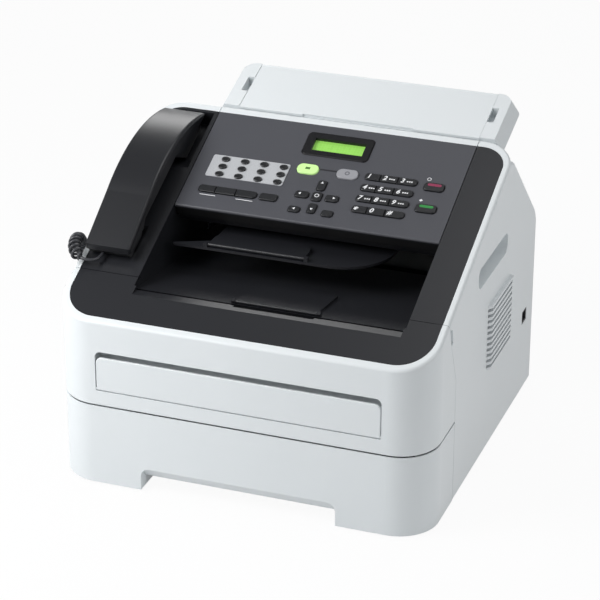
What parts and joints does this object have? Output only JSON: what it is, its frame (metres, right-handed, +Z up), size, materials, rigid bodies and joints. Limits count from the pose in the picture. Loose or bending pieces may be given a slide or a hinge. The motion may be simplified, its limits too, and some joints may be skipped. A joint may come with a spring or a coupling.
{
  "type": "fax machine",
  "caption": "Desktop laser fax machine with a corded handset, sloped control panel, document tray, output well, front drop-down cover and slide-out paper cassette.",
  "frame": {"origin": "on the floor, at the middle of the casing's footprint", "axes": "+X to the right seen from the front, +Y to the back, +Z up"},
  "size_m": [0.3891, 0.36, 0.311],
  "materials": {
    "casing_white": "fine moulded texture",
    "charcoal": "fine moulded texture",
    "handset_black": "satin moulded",
    "tray_grey": "moulded",
    "steel": "sheet steel",
    "unit_black": "moulded",
    "rubber": "matt",
    "silver_plate": "satin silver",
    "display_green": "lit display window",
    "key_dark": "satin key",
    "key_green": "translucent key",
    "key_light": "satin key"
  },
  "bodies": {
    "casing": {"base_frame": "tray_grey", "left_side_cover": "casing_white", "right_side_cover": "casing_white", "rear_cover": "casing_white", "document_tray": "casing_white", "top_cover": "charcoal", "scanner_bed": "charcoal", "toner_cartridge": "unit_black", "drum_unit": "unit_black", "fuser_unit": "unit_black", "sockets": "unit_black", "rubber_feet": "rubber", "handset_cord": "handset_black"},
    "paper_tray": {"paper_tray": "tray_grey", "paper_tray_front": "casing_white"},
    "front_cover": {"front_cover": "casing_white", "front_deck": "charcoal"},
    "manual_feed_cover": {"manual_feed_cover": "casing_white"},
    "control_panel": {"control_panel": "charcoal", "panel_rear_trim": "casing_white", "display_bezel": "charcoal", "lcd_screen": "display_green", "one_touch_plate": "silver_plate"},
    "document_flap": {"document_flap": "casing_white"},
    "handset": {"handset_shell": "handset_black", "handset_face": "handset_black"},
    "rear_door": {"rear_door": "casing_white"},
    "output_stop_flap": {"output_stop_flap": "charcoal"},
    "document_output_flap": {"document_output_flap": "charcoal"},
    "hook_switch": {"hook_switch": "handset_black"},
    "paper_lift_plate": {"paper_lift_plate": "steel"},
    "pickup_roller": {"pickup_roller": "rubber"},
    "document_feed_roller": {"document_feed_roller": "rubber"},
    "fax_key": {"fax_key": "key_green"},
    "copy_key": {"copy_key": "key_light"},
    "stop_key": {"stop_key": "key_dark"},
    "start_key": {"start_key": "key_dark"},
    "dial_key_1": {"dial_key_1": "key_dark"},
    "dial_key_2": {"dial_key_2": "key_dark"},
    "dial_key_3": {"dial_key_3": "key_dark"},
    "dial_key_4": {"dial_key_4": "key_dark"},
    "dial_key_5": {"dial_key_5": "key_dark"},
    "dial_key_6": {"dial_key_6": "key_dark"},
    "dial_key_7": {"dial_key_7": "key_dark"},
    "dial_key_8": {"dial_key_8": "key_dark"},
    "dial_key_9": {"dial_key_9": "key_dark"},
    "dial_key_star": {"dial_key_star": "key_dark"},
    "dial_key_0": {"dial_key_0": "key_dark"},
    "dial_key_hash": {"dial_key_hash": "key_dark"},
    "function_key_1": {"function_key_1": "key_dark"},
    "function_key_2": {"function_key_2": "key_dark"},
    "function_key_3": {"function_key_3": "key_dark"},
    "function_key_4": {"function_key_4": "key_dark"},
    "left_key": {"left_key": "key_dark"},
    "right_key": {"right_key": "key_dark"},
    "up_key": {"up_key": "key_dark"},
    "down_key": {"down_key": "key_dark"},
    "ok_key": {"ok_key": "key_dark"},
    "clear_key": {"clear_key": "key_dark"},
    "menu_key": {"menu_key": "key_dark"}
  },
  "joints": [
    {"name": "paper_tray_slide", "type": "slide", "parent": "casing", "child": "paper_tray", "axis": [0, -1, 0], "range_m": [0, 0.3]},
    {"name": "front_cover_hinge", "type": "hinge", "parent": "casing", "child": "front_cover", "pos_m": [0, -0.174, 0.0895], "axis": [1, 0, 0], "range_deg": [0, 75]},
    {"name": "control_panel_hinge", "type": "hinge", "parent": "casing", "child": "control_panel", "pos_m": [0, 0.08937, 0.28254], "axis": [-1, 0, 0], "range_deg": [0, 55]},
    {"name": "handset_lift", "type": "slide", "parent": "casing", "child": "handset", "axis": [0, -0.4003, 0.9164], "range_m": [0, 0.12], "deforming": ["handset_cord"]},
    {"name": "document_flap_hinge", "type": "hinge", "parent": "casing", "child": "document_flap", "pos_m": [0, 0.15745, 0.30909], "axis": [-1, 0, 0], "range_deg": [0, 150]},
    {"name": "rear_door_hinge", "type": "hinge", "parent": "casing", "child": "rear_door", "pos_m": [0, 0.1762, 0.0665], "axis": [-1, 0, 0], "range_deg": [0, 95]},
    {"name": "manual_feed_cover_hinge", "type": "hinge", "parent": "front_cover", "child": "manual_feed_cover", "pos_m": [0, -0.1785, 0.1015], "axis": [1, 0, 0], "range_deg": [0, 80]},
    {"name": "document_output_flap_hinge", "type": "hinge", "parent": "casing", "child": "document_output_flap", "pos_m": [0, -0.059, 0.2076], "axis": [1, 0, 0], "range_deg": [0, 165]},
    {"name": "output_stop_flap_hinge", "type": "hinge", "parent": "casing", "child": "output_stop_flap", "pos_m": [0, -0.12748, 0.1874], "axis": [1, 0, 0], "range_deg": [0, 120]},
    {"name": "hook_switch_slide", "type": "slide", "parent": "casing", "child": "hook_switch", "axis": [0, -0.4003, 0.9164], "range_m": [0, 0.004]},
    {"name": "paper_lift_plate_hinge", "type": "hinge", "parent": "paper_tray", "child": "paper_lift_plate", "pos_m": [0, 0.038, 0.012], "axis": [-1, 0, 0], "range_deg": [0, 8]},
    {"name": "pickup_roller_spin", "type": "hinge", "parent": "casing", "child": "pickup_roller", "pos_m": [0, -0.08, 0.0655], "axis": [1, 0, 0], "continuous": true},
    {"name": "document_feed_roller_spin", "type": "hinge", "parent": "casing", "child": "document_feed_roller", "pos_m": [0, 0.04151, 0.24374], "axis": [1, 0, 0], "continuous": true},
    {"name": "fax_key_press", "type": "slide", "parent": "control_panel", "child": "fax_key", "axis": [0, 0.4003, -0.9164], "range_m": [0, 0.001], "stiffness_N_per_m": 250},
    {"name": "copy_key_press", "type": "slide", "parent": "control_panel", "child": "copy_key", "axis": [0, 0.4003, -0.9164], "range_m": [0, 0.001], "stiffness_N_per_m": 250},
    {"name": "stop_key_press", "type": "slide", "parent": "control_panel", "child": "stop_key", "axis": [0, 0.4003, -0.9164], "range_m": [0, 0.001], "stiffness_N_per_m": 250},
    {"name": "start_key_press", "type": "slide", "parent": "control_panel", "child": "start_key", "axis": [0, 0.4003, -0.9164], "range_m": [0, 0.001], "stiffness_N_per_m": 250},
    {"name": "dial_key_1_press", "type": "slide", "parent": "control_panel", "child": "dial_key_1", "axis": [0, 0.4003, -0.9164], "range_m": [0, 0.001], "stiffness_N_per_m": 250},
    {"name": "dial_key_2_press", "type": "slide", "parent": "control_panel", "child": "dial_key_2", "axis": [0, 0.4003, -0.9164], "range_m": [0, 0.001], "stiffness_N_per_m": 250},
    {"name": "dial_key_3_press", "type": "slide", "parent": "control_panel", "child": "dial_key_3", "axis": [0, 0.4003, -0.9164], "range_m": [0, 0.001], "stiffness_N_per_m": 250},
    {"name": "dial_key_4_press", "type": "slide", "parent": "control_panel", "child": "dial_key_4", "axis": [0, 0.4003, -0.9164], "range_m": [0, 0.001], "stiffness_N_per_m": 250},
    {"name": "dial_key_5_press", "type": "slide", "parent": "control_panel", "child": "dial_key_5", "axis": [0, 0.4003, -0.9164], "range_m": [0, 0.001], "stiffness_N_per_m": 250},
    {"name": "dial_key_6_press", "type": "slide", "parent": "control_panel", "child": "dial_key_6", "axis": [0, 0.4003, -0.9164], "range_m": [0, 0.001], "stiffness_N_per_m": 250},
    {"name": "dial_key_7_press", "type": "slide", "parent": "control_panel", "child": "dial_key_7", "axis": [0, 0.4003, -0.9164], "range_m": [0, 0.001], "stiffness_N_per_m": 250},
    {"name": "dial_key_8_press", "type": "slide", "parent": "control_panel", "child": "dial_key_8", "axis": [0, 0.4003, -0.9164], "range_m": [0, 0.001], "stiffness_N_per_m": 250},
    {"name": "dial_key_9_press", "type": "slide", "parent": "control_panel", "child": "dial_key_9", "axis": [0, 0.4003, -0.9164], "range_m": [0, 0.001], "stiffness_N_per_m": 250},
    {"name": "dial_key_star_press", "type": "slide", "parent": "control_panel", "child": "dial_key_star", "axis": [0, 0.4003, -0.9164], "range_m": [0, 0.001], "stiffness_N_per_m": 250},
    {"name": "dial_key_0_press", "type": "slide", "parent": "control_panel", "child": "dial_key_0", "axis": [0, 0.4003, -0.9164], "range_m": [0, 0.001], "stiffness_N_per_m": 250},
    {"name": "dial_key_hash_press", "type": "slide", "parent": "control_panel", "child": "dial_key_hash", "axis": [0, 0.4003, -0.9164], "range_m": [0, 0.001], "stiffness_N_per_m": 250},
    {"name": "function_key_1_press", "type": "slide", "parent": "control_panel", "child": "function_key_1", "axis": [0, 0.4003, -0.9164], "range_m": [0, 0.001], "stiffness_N_per_m": 250},
    {"name": "function_key_2_press", "type": "slide", "parent": "control_panel", "child": "function_key_2", "axis": [0, 0.4003, -0.9164], "range_m": [0, 0.001], "stiffness_N_per_m": 250},
    {"name": "function_key_3_press", "type": "slide", "parent": "control_panel", "child": "function_key_3", "axis": [0, 0.4003, -0.9164], "range_m": [0, 0.001], "stiffness_N_per_m": 250},
    {"name": "function_key_4_press", "type": "slide", "parent": "control_panel", "child": "function_key_4", "axis": [0, 0.4003, -0.9164], "range_m": [0, 0.001], "stiffness_N_per_m": 250},
    {"name": "left_key_press", "type": "slide", "parent": "control_panel", "child": "left_key", "axis": [0, 0.4003, -0.9164], "range_m": [0, 0.001], "stiffness_N_per_m": 250},
    {"name": "right_key_press", "type": "slide", "parent": "control_panel", "child": "right_key", "axis": [0, 0.4003, -0.9164], "range_m": [0, 0.001], "stiffness_N_per_m": 250},
    {"name": "up_key_press", "type": "slide", "parent": "control_panel", "child": "up_key", "axis": [0, 0.4003, -0.9164], "range_m": [0, 0.001], "stiffness_N_per_m": 250},
    {"name": "down_key_press", "type": "slide", "parent": "control_panel", "child": "down_key", "axis": [0, 0.4003, -0.9164], "range_m": [0, 0.001], "stiffness_N_per_m": 250},
    {"name": "ok_key_press", "type": "slide", "parent": "control_panel", "child": "ok_key", "axis": [0, 0.4003, -0.9164], "range_m": [0, 0.001], "stiffness_N_per_m": 250},
    {"name": "clear_key_press", "type": "slide", "parent": "control_panel", "child": "clear_key", "axis": [0, 0.4003, -0.9164], "range_m": [0, 0.001], "stiffness_N_per_m": 250},
    {"name": "menu_key_press", "type": "slide", "parent": "control_panel", "child": "menu_key", "axis": [0, 0.4003, -0.9164], "range_m": [0, 0.001], "stiffness_N_per_m": 250}
  ],
  "couplings": [
    {"joint": "hook_switch_slide", "follows": "handset_lift", "ratio": 0.033333}
  ]
}
